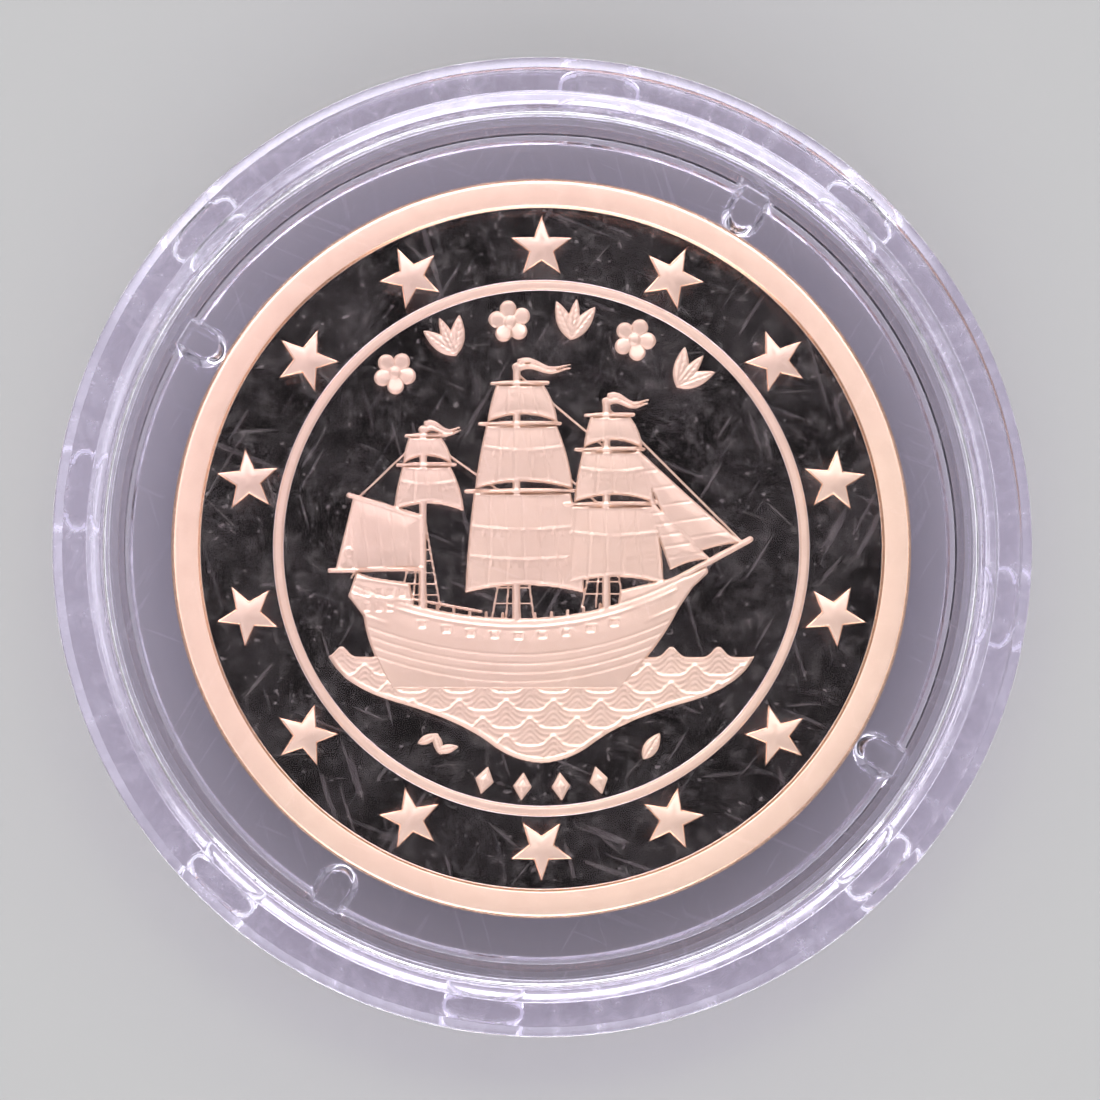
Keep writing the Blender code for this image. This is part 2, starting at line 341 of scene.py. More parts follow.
def mirror_copper(name):
    """Polished proof field: a mirror with a trace of haze, faint hairlines and specks."""
    material, tree, shader, out = new_material(name)
    grain = mm_coordinates(tree)
    cloud = noise(tree, grain, scale=0.55, detail=5.0, rough=0.62, distortion=0.4)
    speck = noise(tree, grain, scale=5.5, detail=2.0, rough=0.5)
    lines = hairlines(tree, scale=6.0, threshold=0.75, turns=(40.0, 133.0, 87.0))
    scratch = combine(tree, "MULTIPLY", lines, 0.55)
    dusty = map_range(tree, speck, source=(0.665, 0.70), target=(0.0, 1.0))
    patches = noise(tree, grain, scale=2.1, detail=4.0, rough=0.68, distortion=0.5)
    mottle = map_range(tree, patches, source=(0.47, 0.72), target=(0.0, 0.055), smooth=True)

    def blemishes(share):
        return combine(tree, "MULTIPLY", combine(tree, "MAXIMUM", dusty, scratch), share)

    rough = combine(
        tree,
        "ADD",
        map_range(tree, cloud, source=(0.35, 0.8), target=(0.035, 0.10)),
        blemishes(0.12),
    )
    tint = map_range(tree, cloud, source=(0.3, 0.8), target=(0.0, 1.0))
    set_inputs(tree, shader, {
        "Roughness": rough,
        "Base Color": mix_colour(tree, tint, (0.80, 0.69, 0.62), (0.72, 0.64, 0.60)),
        "Metallic": 1.0,
    })
    # a thin veil of rough reflection laid over the mirror
    veil = add_node(
        tree, "ShaderNodeBsdfGlossy", {"Color": (0.70, 0.64, 0.57, 1.0), "Roughness": 0.42}
    )
    haze = map_range(tree, cloud, source=(0.35, 0.85), target=(0.004, 0.030))
    amount = combine(tree, "ADD", combine(tree, "ADD", haze, mottle), blemishes(0.07))
    mix = add_node(
        tree,
        "ShaderNodeMixShader",
        {"Fac": amount, 1: shader.outputs["BSDF"], 2: veil.outputs["BSDF"]},
    )
    tree.links.new(mix.outputs["Shader"], out.inputs["Surface"])
    return material


BASE_PLASTIC = clear_plastic("clear_styrene_base_moulding")
LID_PLASTIC = clear_plastic("clear_styrene_lid_moulding")
MATT_PLASTIC = matt_plastic("matt_styrene_pin_mark")
# the seam faces' styrene: mottled roughness, and a darker tint that is painted shade on the
# flange
PARTING_PLASTIC_PAINTED_SHADE = parting_plastic_painted_shade("cloudy_styrene_parting_face_painted_shade")
FROST = frosted_copper(
    "frosted_copper", rough=0.46, warm=(0.530, 0.398, 0.290), pink=(0.522, 0.372, 0.292)
)
RIM_FROST = frosted_copper(
    "frosted_copper_rim", rough=0.42, warm=(0.700, 0.524, 0.375), pink=(0.690, 0.488, 0.368)
)
BRIGHT = frosted_copper(
    "bright_copper_edge", rough=0.20, warm=(0.80, 0.54, 0.34), pink=(0.78, 0.51, 0.34)
)
MIRROR = mirror_copper("proof_mirror_copper")


# ---- mesh helpers -------------------------------------------------------------------
def turned(x, y, angle):
    """Coordinates along and across a direction, angle radians round from +X."""
    cos, sin = math.cos(angle), math.sin(angle)
    return x * cos + y * sin, -x * sin + y * cos


def link_mesh(name, mesh):
    made = bpy.data.objects.new(name, mesh)
    bpy.context.scene.collection.objects.link(made)
    return made


def make_object(name, verts, faces, materials, face_slots, smooth=True):
    mesh = bpy.data.meshes.new(name)
    mesh.from_pydata([tuple(point) for point in np.asarray(verts, float) * MM], [], faces)
    mesh.validate()
    for material in materials:
        mesh.materials.append(material)
    mesh.polygons.foreach_set("material_index", np.asarray(face_slots, np.int32))
    made = link_mesh(name, mesh)
    if smooth:
        mesh.shade_smooth()
    mesh.update()
    return made


def filleted(corners, step_deg=15.0):
    """A polyline of (radius, z) from (radius, z, fillet) corners, each fillet a fine arc."""
    points = []
    for i, (radius, z, fillet) in enumerate(corners):
        here = np.array((radius, z), float)
        if i in (0, len(corners) - 1) or fillet <= 0:
            points.append(tuple(here))
            continue
        back = np.array(corners[i - 1][:2], float) - here
        ahead = np.array(corners[i + 1][:2], float) - here
        back_length, ahead_length = np.linalg.norm(back), np.linalg.norm(ahead)
        back, ahead = back / back_length, ahead / ahead_length
        angle = math.acos(float(np.clip(back @ ahead, -1, 1)))
        if angle > math.pi - 1e-3:  # a straight run has no corner to round
            points.append(tuple(here))
            continue
        half_tan = math.tan(angle / 2)
        reach = min(fillet / half_tan, 0.48 * back_length, 0.48 * ahead_length)
        used = reach * half_tan
        bisector = (back + ahead) / np.linalg.norm(back + ahead)
        middle = here + bisector * used / math.sin(angle / 2)
        from_spoke = here + back * reach - middle
        to_spoke = here + ahead * reach - middle
        sweep = math.pi - angle
        steps = max(2, int(math.ceil(math.degrees(sweep) / step_deg)))
        for k in range(steps + 1):
            share = k / steps
            spoke = (
                math.sin((1 - share) * sweep) * from_spoke + math.sin(share * sweep) * to_spoke
            ) / math.sin(sweep)
            points.append(tuple(middle + spoke))
    return points


def densify(points, spots):
    """Adds points along long straight runs within each (low, high, step) span of radius."""
    out = [points[0]]
    for (radius, z), (next_radius, next_z) in zip(points, points[1:]):
        inner, outer = min(radius, next_radius), max(radius, next_radius)
        cuts = [1.0]
        for low, high, step in spots:
            if outer - inner > 0.3 and inner < high and outer > low:
                start, end = max(inner, low), min(outer, high)
                for k in range(int(math.ceil((end - start) / step)) + 1):
                    at = min(end, start + k * step)
                    cuts.append((at - radius) / (next_radius - radius))
        for cut in sorted({0.0, *(round(cut, 6) for cut in cuts)})[1:]:
            out.append((radius + (next_radius - radius) * cut, z + (next_z - z) * cut))
    return out


def lathe(name, rows, angles, materials, row_slots):
    """A closed turned solid from (radius, z) rows, z a number or an array over the angles.

    The first and last rows lie on the axis. Normals point out when the rows run from the
    top's centre, down the outer side and back to the axis. Each gap between two rows has
    its own material slot.
    """
    count = len(angles)
    cos, sin = np.cos(angles), np.sin(angles)
    rings = [
        np.stack([radius * cos, radius * sin, np.broadcast_to(z, (count,))], axis=1)
        for radius, z in rows[1:-1]
    ]
    verts = np.concatenate([[(0.0, 0.0, rows[0][1])], *rings, [(0.0, 0.0, rows[-1][1])]])
    around = [(i, (i + 1) % count) for i in range(count)]
    faces = [(0, 1 + i, 1 + j) for i, j in around]
    for k in range(len(rings) - 1):
        upper, lower = 1 + k * count, 1 + (k + 1) * count
        faces += [(upper + i, lower + i, lower + j, upper + j) for i, j in around]
    last_ring, last = 1 + (len(rings) - 1) * count, len(verts) - 1
    faces += [(last_ring + i, last, last_ring + j) for i, j in around]
    return make_object(name, verts, faces, materials, np.repeat(row_slots, count))


def angles_with_detail(windows, coarse):
    """Angles in radians: fine inside each (centre, half width, step) window, coarse elsewhere."""
    found = set()

    def spread(low, high, step):
        gap = high - low
        parts = max(1, int(math.ceil(gap / step)))
        found.update(round(low + gap * k / parts, 5) for k in range(parts))

    marks = sorted((centre - half, centre + half, step) for centre, half, step in windows)
    start = cursor = marks[0][0]
    for low, high, step in marks + [(start + 360.0, start + 360.0, 1.0)]:
        if low > cursor + 1e-6:
            spread(cursor, low, coarse)
            cursor = low
        if high > cursor:
            spread(cursor, high, step)
            cursor = high
    return np.radians(np.array(sorted(found)))


def soft_positive(value, blend):
    """The value, or 0 where it is negative, with a small rounded bend."""
    bend = (value + blend) ** 2 / (4 * blend)
    return np.where(value <= -blend, 0.0, np.where(value >= blend, value, bend))


def soft_clamp(value, blend):
    """The value held between 0 and 1 with small rounded ends."""
    return 1.0 - soft_positive(1.0 - soft_positive(value, blend), blend)


def smooth_max(first, second, blend):
    share = np.clip(0.5 + 0.5 * (first - second) / blend, 0.0, 1.0)
    return second * (1 - share) + first * share + blend * share * (1 - share)


# ---- pin marks ----------------------------------------------------------------------
def pin_outline(x, y, centre):
    """Signed distance, near enough, to a pin's oval mark, long round the rim."""
    outward, along = turned(x, y, math.radians(centre))
    outward = np.where(outward > 0, np.hypot(x, y) - PIN_R, 9.0)
    power = PIN_POWER
    long_share, wide_share = np.abs(along) / PIN_LONG, np.abs(outward) / PIN_WIDE
    size = (long_share**power + wide_share**power + 1e-9) ** (1 / power)
    slope = size ** (1 - power) * np.hypot(
        long_share ** (power - 1) / PIN_LONG, wide_share ** (power - 1) / PIN_WIDE
    )
    return (size - 1) / np.maximum(slope, 0.3)


def pin_dip(radius, angles, centres):
    """Depth of the pins' marks at a radius: an oval line pressed in the face."""
    depth = np.zeros_like(angles)
    if abs(radius - PIN_R) > PIN_WIDE + 0.12:
        return depth
    x, y = radius * np.cos(angles), radius * np.sin(angles)
    for centre in centres:
        depth = np.maximum(depth, np.exp(-((pin_outline(x, y, centre) / PIN_GROOVE) ** 2)))
    return np.where(depth > 0.02, depth, 0.0) * PIN_DEPTH


def press_pins(path, level, into, angles, centres):
    """Rows from a path of points, its flat at the level pressed up (into = 1) or down (-1)."""
    return [
        (radius, z + into * pin_dip(radius, angles, centres) if abs(z - level) < 1e-6 else z)
        for radius, z in path
    ]


def matt_pin_marks(shell, level, centres):
    """Gives slot 1, the matt finish, to the two ends of each pin mark."""
    polygons = shell.data.polygons
    middle = np.empty(len(polygons) * 3)
    polygons.foreach_get("center", middle)
    x, y, z = middle.reshape(-1, 3).T / MM
    found = np.zeros(len(x), bool)
    for centre in centres:
        along = np.abs(turned(x, y, math.radians(centre))[1])
        found |= (np.abs(pin_outline(x, y, centre)) < 0.048) & (along > 0.62 * PIN_LONG)
    slots = np.empty(len(x), np.int32)
    polygons.foreach_get("material_index", slots)
    slots = np.where(found & (np.abs(z - level) < 0.12), 1, slots).astype(np.int32)
    polygons.foreach_set("material_index", slots)


# ---- the two shells -----------------------------------------------------------------
def shell_windows(centres, windows):
    return [(angle + side, half, step) for angle in centres for side, half, step in windows]


def make_shell(name, rows, angles, plastic, level, pins):
    """Slot 2 goes on the flat face at the seam, slot 1 on the pin marks' ends, 0 elsewhere."""
    flat = [
        radius > SPIG_FOOT and abs(float(np.median(z)) - level) < 1e-4 for radius, z in rows
    ]
    row_slots = [2 if here and beyond else 0 for here, beyond in zip(flat, flat[1:])]
    shell = lathe(name, rows, angles, [plastic, MATT_PLASTIC, PARTING_PLASTIC_PAINTED_SHADE], row_slots)
    matt_pin_marks(shell, level, pins)
    return shell


def cavity_height(radius, angles):
    """The base's inside surface: floor, drafted ring wall and four drafted tabs, blended."""
    x, y = radius * np.cos(angles), radius * np.sin(angles)
    tab_height, wall_height = TAB_TOP - FLOOR_Z, SPIGOT_TOP - FLOOR_Z
    round_centre = TAB_TIP + TAB_HALF
    to_tab = np.full_like(angles, 1e3)
    for angle in TAB_ANGLES:
        along, side = turned(x, y, math.radians(angle))
        ends = np.hypot(along - round_centre, side)
        dist = np.where(along < round_centre, ends, np.abs(side)) - TAB_HALF
        to_tab = np.minimum(to_tab, np.where(along > 0, dist, 1e3))
    tab = tab_height * np.minimum(-to_tab / TAB_DRAFT, 1.0)
    tab = np.where(tab > 0, tab_height * soft_clamp(tab / tab_height, TAB_ROUND), tab)
    wall = wall_height * (radius - CAV_FOOT) / (CAV_TOP - CAV_FOOT)
    wall = np.full_like(angles, min(wall, wall_height))
    top = smooth_max(tab, wall, WALL_BLEND)
    top = np.where(wall >= wall_height - 1e-9, wall_height, np.minimum(top, wall_height))
    return FLOOR_Z + soft_positive(top, FLOOR_BLEND)


def stepped(start, end, step):
    radii = []
    radius = start
    while radius < end:
        radii.append(radius)
        radius += step
    return radii


def build_base():
    angles = angles_with_detail(
        shell_windows(TAB_ANGLES, [TAB_WINDOW]) + shell_windows(BASE_PINS, PIN_WINDOWS),
        BASE_COARSE,
    )
    # wide steps over the floor, fine ones over the tabs, finest up the cavity's wall
    radii = [3.0, 6.0, 8.5, 9.8, 10.4, 10.56]
    radii += stepped(10.60, 11.74, 0.040) + stepped(11.74, CAV_TOP - 0.001, 0.024)
    inside = [(0.0, FLOOR_Z)] + [(radius, cavity_height(radius, angles)) for radius in radii]
    outside = filleted(
        [  # radius, z, fillet
            (CAV_TOP + 0.01, SPIGOT_TOP, 0),
            (SPIG_TOP - 0.06, SPIGOT_TOP, 0.03),
            (SPIG_TOP, SPIGOT_TOP - 0.08, 0.05),
            (SPIG_FOOT, PART_Z, 0.03),
            (OUTER_R - 0.20, PART_Z, 0.04),
            (OUTER_R, PART_Z - 0.20, 0.08),
            (OUTER_R, BOTTOM, 0.30),
            (LAND_IN, BOTTOM, 0.05),
            (LAND_IN - 0.22, BOTTOM + RECESS, 0.06),
            (0.0, BOTTOM + RECESS, 0),
        ]
    )
    outside = densify(outside, [(12.86, 13.78, 0.037), (1.0, 12.4, 3.0)])
    rows = inside + press_pins(outside, PART_Z, -1, angles, BASE_PINS)
    return make_shell("base_shell_moulding", rows, angles, BASE_PLASTIC, PART_Z, BASE_PINS)


def build_lid():
    angles = angles_with_detail(shell_windows(LID_PINS, PIN_WINDOWS), LID_COARSE)
    path = filleted(
        [  # radius, z, fillet
            (0.0, TOP - RECESS, 0),
            (WINDOW_R, TOP - RECESS, 0.12),
            (LAND_IN, TOP, 0.10),
            (13.69, TOP, 0.08),
            (13.965, TOP - 0.112, 0.06),
            (OUTER_R, TOP - 0.28, 0.10),
            (OUTER_R, SKIRT_Z + 0.20, 0.08),
            (OUTER_R - 0.20, SKIRT_Z, 0.04),
            (SPIG_FOOT + FIT + 0.08, SKIRT_Z, 0.04),
            (SPIG_FOOT + FIT, SKIRT_Z + 0.08, 0.04),
            (SPIG_TOP + FIT, CEIL_Z, 0.06),
            (0.0, CEIL_Z, 0),
        ],
        step_deg=9.0,
    )
    path = densify(path, [(12.86, 13.78, 0.035), (1.0, 12.4, 3.0)])
    rows = press_pins(path, SKIRT_Z, 1, angles, LID_PINS)
    return make_shell("lid_shell_moulding", rows, angles, LID_PLASTIC, SKIRT_Z, LID_PINS)


# ---- the coin's disc and stars ------------------------------------------------------
def build_blank():
    """The struck disc: rolled rim, polished fields, the thin raised inner ring, plain edge."""
    path = filleted(
        [  # radius, z, fillet
            (0.0, FIELD_Z, 0),
            (7.405, FIELD_Z, 0.02),
            (7.47, FIELD_Z + 0.065, 0.035),
            (7.63, FIELD_Z + 0.065, 0.035),
            (7.695, FIELD_Z, 0.02),
            (RIM_IN, FIELD_Z, 0.03),
            (RIM_IN + 0.075, COIN_TOP, 0.04),
            (COIN_R, COIN_TOP, 0.17),
            (COIN_R, COIN_LOW, 0.17),
            (RIM_IN + 0.075, COIN_LOW, 0.04),
            (RIM_IN, BACK_Z, 0.03),
            (0.0, BACK_Z, 0),
        ],
        step_deg=12.0,
    )
    path = densify(path, [(0.5, 9.6, 2.2)])
    mirror, frost, rim, bright = range(4)
    slots = []
    for (radius, z), (next_radius, next_z) in zip(path, path[1:]):
        mid_radius, mid_z = 0.5 * (radius + next_radius), 0.5 * (z + next_z)
        on_rim_face = min(abs(mid_z - COIN_TOP), abs(mid_z - COIN_LOW)) < 0.02
        sloping = abs(next_z - z) > 1e-4
        if 7.40 < mid_radius < 7.70 and mid_z > FIELD_Z + 0.01:
            slots.append(frost)
        elif mid_radius > RIM_IN + 0.055 and on_rim_face:
            slots.append(rim)
        elif mid_radius >= RIM_IN - 0.005 and (mid_radius > RIM_IN + 0.1 or sloping):
            slots.append(bright)
        else:
            slots.append(mirror)
    angles = np.radians(np.arange(0, 360, 1.0))
    return lathe("coin_blank", path, angles, [MIRROR, FROST, RIM_FROST, BRIGHT], slots)


STAR_COUNT, STAR_RING_R, STAR_SIZE, STAR_HEIGHT = 14, 8.63, 0.93, 0.095
STAR_NOTCH = STAR_SIZE * 0.40
STAR_SINK = 0.02
# outline's share of the full star, z
STAR_LAYERS = (
    (1.0, FIELD_Z - STAR_SINK),
    (1.0, FIELD_Z),
    (0.90, FIELD_Z + STAR_HEIGHT * 0.72),
    (0.82, FIELD_Z + STAR_HEIGHT),
)


def star_border():
    """Five-pointed stars round the border: low-peaked frosted tops, bright sloping sides."""
    verts, faces, slots = [], [], []
    frost, bright = 0, 1
    around = [(k, (k + 1) % 10) for k in range(10)]
    for s in range(STAR_COUNT):
        centre = math.radians(90.0 + 360.0 * s / STAR_COUNT)

        def add_vert(x, y, z):
            verts.append((*turned(x, y, -centre), z))
            return len(verts) - 1

        rings = []
        for share, z in STAR_LAYERS:
            # sides slope in by an even amount, so points draw in more than notches
            point = STAR_SIZE - (1.0 - share) * (1.05 * STAR_SIZE)
            notch = STAR_NOTCH - (1.0 - share) * (0.44 * STAR_SIZE)
            ring = []
            for k in range(10):
                reach = notch if k % 2 else point
                angle = math.radians(36.0 * k)
                x, y = STAR_RING_R + reach * math.cos(angle), reach * math.sin(angle)
                ring.append(add_vert(x, y, z))
            rings.append(ring)
        for low, high in zip(rings, rings[1:]):
            faces += [(low[k], low[j], high[j], high[k]) for k, j in around]
            slots += [frost if high is rings[-1] else bright] * 10
        peak = add_vert(STAR_RING_R, 0.0, FIELD_Z + STAR_HEIGHT * 1.12)
        under = add_vert(STAR_RING_R, 0.0, FIELD_Z - STAR_SINK)
        for k, j in around:
            faces.append((rings[-1][k], rings[-1][j], peak))
            faces.append((rings[0][j], rings[0][k], under))
        slots += [frost] * 20
    return make_object("coin_star_border", verts, faces, [FROST, BRIGHT], slots, smooth=False)


# ---- relief drawn as heights on a grid ----------------------------------------------
class Relief:
    """Heights over a patch of the coin, built up shape over shape from signed distances.

    grid_x and grid_y are places on the coin; x and y are the drawing's own coordinates.
    """

    def __init__(self, x_span, y_span, step, centre=(0.0, 0.0), stretch=(1.0, 1.0)):
        self.grid_x, self.grid_y = np.meshgrid(
            *(np.arange(low, high + step / 2, step) for low, high in (x_span, y_span))
        )
        self.x = (self.grid_x - centre[0]) / stretch[0]
        self.y = (self.grid_y - centre[1]) / stretch[1]
        self.height = np.full_like(self.x, -0.03)

    def lay(self, dist, height, edge):
        """Covers what is there wherever dist is negative, with a sloping edge."""
        cover = np.clip(0.5 - dist / edge, 0, 1)
        cover = cover * cover * (3 - 2 * cover)
        self.height = self.height * (1 - cover) + height * cover

    def add(self, where, rise):
        self.height = np.where(where, self.height + rise, self.height)

    def line(self, where, offset, width, rise):
        """Raises or sinks a soft line along offset = 0."""
        self.add(where, np.exp(-((offset / width) ** 2)) * rise)

    def band(self, where, offset, half_width, rise):
        """Raises a flat-topped band along offset = 0."""
        self.add(where, np.clip(1 - (offset / half_width) ** 4, 0, 1) * rise)


def to_segment(x, y, start, end):
    """Distance to a segment, and the share of the way along it."""
    (start_x, start_y), (end_x, end_y) = start, end
    run, rise = end_x - start_x, end_y - start_y
    share = ((x - start_x) * run + (y - start_y) * rise) / (run * run + rise * rise + 1e-12)
    share = np.clip(share, 0, 1)
    return np.hypot(x - start_x - share * run, y - start_y - share * rise), share


def to_polygon(x, y, points):
    """Signed distance to a polygon, negative inside."""
    best = np.full_like(x, 1e3)
    inside = np.zeros(x.shape, bool)
    for start, end in zip(points, points[1:] + points[:1]):
        best = np.minimum(best, to_segment(x, y, start, end)[0])
        crosses = (start[1] > y) != (end[1] > y)
        at = (end[0] - start[0]) * (y - start[1]) / (end[1] - start[1] + 1e-12) + start[0]
        inside ^= crosses & (x < at)
    return np.where(inside, -best, best)


def bezier(start, pull, end, steps=12):
    return [
        tuple(
            (1 - share) ** 2 * first + 2 * share * (1 - share) * middle + share * share * last
            for first, middle, last in zip(start, pull, end)
        )
        for share in (k / steps for k in range(steps + 1))
    ]


# ---- parts of the ship --------------------------------------------------------------
SAIL_EDGE = 0.06         # slope width round every sail
SEAM_WIDTH = 0.026
SAIL_LOW = 0.060         # height of a sail at its edges


def lay_bolt_rope(relief, dist, rise):
    relief.line(dist < 0.02, dist + 0.035, 0.03, rise)


def lay_square_sail(relief, centre, y_low, y_high, w_low, w_high, panels, reefs):
    """A square sail full of wind: bowed leeches, hollow foot, seams, reef bands with points."""
    x, y = relief.x, relief.y
    lean = 0.10          # the foot's shift towards +X
    belly_height = 0.125
    left, right = centre - w_high / 2, centre + w_high / 2
    foot_left, foot_right = centre - w_low / 2 + lean * 0.3, centre + w_low / 2 + lean
    mid = 0.5 * (y_low + y_high)
    head_mid, foot_mid = 0.5 * (left + right), 0.5 * (foot_left + foot_right)
    right_pull = (0.5 * (right + foot_right) + 0.13, mid)
    left_pull = (0.5 * (left + foot_left) - 0.05, mid)
    outline = (
        bezier((left, y_high), (head_mid, y_high - 0.05), (right, y_high))
        + bezier((right, y_high), right_pull, (foot_right, y_low))
        + bezier((foot_right, y_low), (foot_mid, y_low + 0.42), (foot_left, y_low))
        + bezier((foot_left, y_low), left_pull, (left, y_high))
    )
    dist = to_polygon(x, y, outline)
    rise = np.clip((y - y_low) / (y_high - y_low), 0, 1)
    width = w_low + (w_high - w_low) * rise
    across = (x - centre - lean * (1 - rise) * 0.65) / width + 0.5
    held = np.clip(across, 0, 1)
    belly = np.sin(np.pi * np.clip(held, 0.02, 0.98)) ** 0.8 * (
        0.45 + 0.55 * np.sin(np.pi * np.clip(1 - rise, 0, 1) ** 0.8)
    )
    relief.lay(dist, SAIL_LOW + (belly_height - SAIL_LOW) * belly, SAIL_EDGE)
    inside = dist < 0.0
    bulge = across + 0.05 * np.sin(np.pi * rise) * (across - 0.5)
    for k in range(1, panels):
        relief.line(inside, (bulge - k / panels) * width, SEAM_WIDTH, -0.016)
    for k in range(reefs):
        level = y_low + (y_high - y_low) * (0.66 - 0.30 * k) - 0.10 * np.sin(np.pi * held)
        relief.band(inside, y - level, 0.055, 0.012)
        cells = np.abs(((held * panels * 2) % 1.0) - 0.5) * width / (panels * 2)
        hanging = (y < level - 0.03) & (y > level - 0.20)
        relief.add((cells < 0.022) & hanging & inside & (held > 0.06) & (held < 0.94), 0.016)
    lay_bolt_rope(relief, dist, 0.014)


def lay_triangle_sail(relief, head, tack, clew):
    x, y = relief.x, relief.y
    seams, belly_height = 6, 0.115
    foot_pull = (0.5 * (tack[0] + clew[0]) + 0.02, 0.5 * (tack[1] + clew[1]) + 0.16)
    leech_pull = (0.5 * (clew[0] + head[0]) - 0.10, 0.5 * (clew[1] + head[1]))
    luff_pull = (0.5 * (tack[0] + head[0]) - 0.03, 0.5 * (tack[1] + head[1]) - 0.05)
    dist = to_polygon(
        x,
        y,
        bezier(head, luff_pull, tack)
        + bezier(tack, foot_pull, clew)
        + bezier(clew, leech_pull, head),
    )
    belly = np.sin(np.clip(-dist / 0.42, 0, 1) * np.pi / 2)
    relief.lay(dist, SAIL_LOW + (belly_height - SAIL_LOW) * belly, SAIL_EDGE)
    slope = (tack[1] - clew[1]) / (tack[0] - clew[0] + 1e-9) * 0.6
    for k in range(1, seams):
        level = clew[1] + (head[1] - clew[1]) * k / seams
        relief.line(dist < 0, (y - level) - slope * (x - clew[0]), SEAM_WIDTH, -0.014)
    lay_bolt_rope(relief, dist, 0.012)


def lay_spar(relief, start, end, width, height, taper=0.0):
    dist, share = to_segment(relief.x, relief.y, start, end)
    half = width / 2 * (1 - taper * np.abs(2 * share - 1) ** 2)
    round_top = height - 0.03 * np.clip(dist / np.maximum(half, 1e-3), 0, 1) ** 2
    relief.lay(dist - half, round_top, 0.05)


def lay_pennant(relief, x_start, y_start, length, drop):
    """A waving pennant that flies towards +X, with a forked end."""
    x, y = relief.x, relief.y
    share = np.clip((x - x_start) / length, 0, 1)
    wave = np.sin(share * 7.5)
    from_mid = np.abs(y - (y_start - drop * share + 0.07 * wave))
    half = 0.16 * (1 - 0.72 * share)
    fork = np.where(share > 0.72, (share - 0.72) * 0.30, 0.0)
    dist = np.maximum(from_mid - half, np.maximum(x_start - x, x - x_start - length))
    dist = np.maximum(dist, fork * 0.55 - from_mid)
    relief.lay(dist, 0.085 + 0.02 * wave, 0.05)


# ---- the ship -----------------------------------------------------------------------
SHIP_SPANS = ((-6.45, 6.20), (-4.15, 5.65))
SHIP_CENTRE, SHIP_STRETCH = (-0.40, 0.04), (1.11, 1.05)
FORE, MAIN, MIZZEN = 2.02, -0.30, -2.72    # the masts' places in x

# mast, top of its shrouds, top of the mast
MASTS = ((FORE, 1.15, 3.98), (MAIN, 1.35, 4.92), (MIZZEN, 0.85, 3.20))

# start and end of each stay
STAYS = (
    ((FORE, 3.85), (5.55, 0.12)), ((FORE, 2.75), (4.7, -0.38)),
    ((MAIN, 4.75), (FORE, 2.7)), ((MAIN, 3.1), (FORE, 1.0)),
    ((MIZZEN, 3.0), (MAIN, 1.2)), ((MIZZEN, 2.2), (-4.55, -0.85)),
    ((MIZZEN, 3.0), (-4.45, 1.25)),
)

# centre, low and high levels, width at foot and head, panels, reef bands
MIZZEN_SAILS = (
    (MIZZEN + 0.06, 2.28, 2.98, 1.15, 0.80, 3, 0),
    (MIZZEN + 0.10, 0.98, 2.18, 1.72, 1.22, 4, 1),
)
MAIN_AND_FORE_SAILS = (
    (MAIN + 0.10, 3.42, 4.42, 1.72, 1.20, 4, 0),
    (MAIN + 0.14, 1.58, 3.30, 2.44, 1.80, 5, 1),
    (MAIN + 0.16, -1.25, 1.46, 2.98, 2.48, 6, 2),
    (FORE + 0.12, 2.72, 3.55, 1.42, 1.00, 3, 0),
    (FORE + 0.15, 1.22, 2.60, 1.98, 1.48, 4, 1),
    (FORE + 0.18, -1.02, 1.10, 2.40, 2.04, 5, 1),
)

# mast, level, half length
YARDS = (
    (MIZZEN, 3.02, 0.50), (MIZZEN, 2.22, 0.72),
    (MAIN, 4.46, 0.70), (MAIN, 3.35, 1.02), (MAIN, 1.51, 1.38),
    (FORE, 3.59, 0.60), (FORE, 2.65, 0.86), (FORE, 1.15, 1.14),
)

# mast, level, length, drop
PENNANTS = ((MAIN, 4.96, 1.35, 0.10), (FORE, 4.02, 1.05, 0.12), (MIZZEN, 3.25, 0.95, 0.10))

# lines along the hull: drop below the rail; those in WALES are raised, the rest sunk
HULL_LINES = (0.0, 0.24, 0.72, 0.98, 1.22, 1.46, 1.70)
WALES = (0.24, 0.72)


def rail_height(x):
    return -1.98 + 0.062 * (x + 0.2) ** 2 * np.where(x > -0.2, 1.02, 0.80)


def lay_rigging(relief):
    for start, end in STAYS:
        lay_spar(relief, start, end, 0.05, 0.045)
    for mast, top, _ in MASTS:
        deck = float(rail_height(mast)) + 0.02
        for k in range(4):
            head, foot = (mast - 0.05 + 0.03 * k, top), (mast - 0.62 + 0.36 * k, deck)
            lay_spar(relief, head, foot, 0.045, 0.05)
        for k in range(6):
            level = deck + (top - deck) * (k + 1) / 8.0
            share = 1 - (k + 1) / 8.0
            start, end = (mast - 0.62 * share - 0.04, level), (mast + 0.46 * share, level)
            lay_spar(relief, start, end, 0.035, 0.045)


def lay_masts(relief):
    for mast, _, top in MASTS:
        lay_spar(relief, (mast, -2.1), (mast + 0.02, top), 0.17, 0.10)
        relief.lay(np.hypot(relief.x - mast, relief.y - top) - 0.085, 0.115, 0.05)
    lay_spar(relief, (3.4, -1.15), (5.75, 0.20), 0.15, 0.10)  # bowsprit


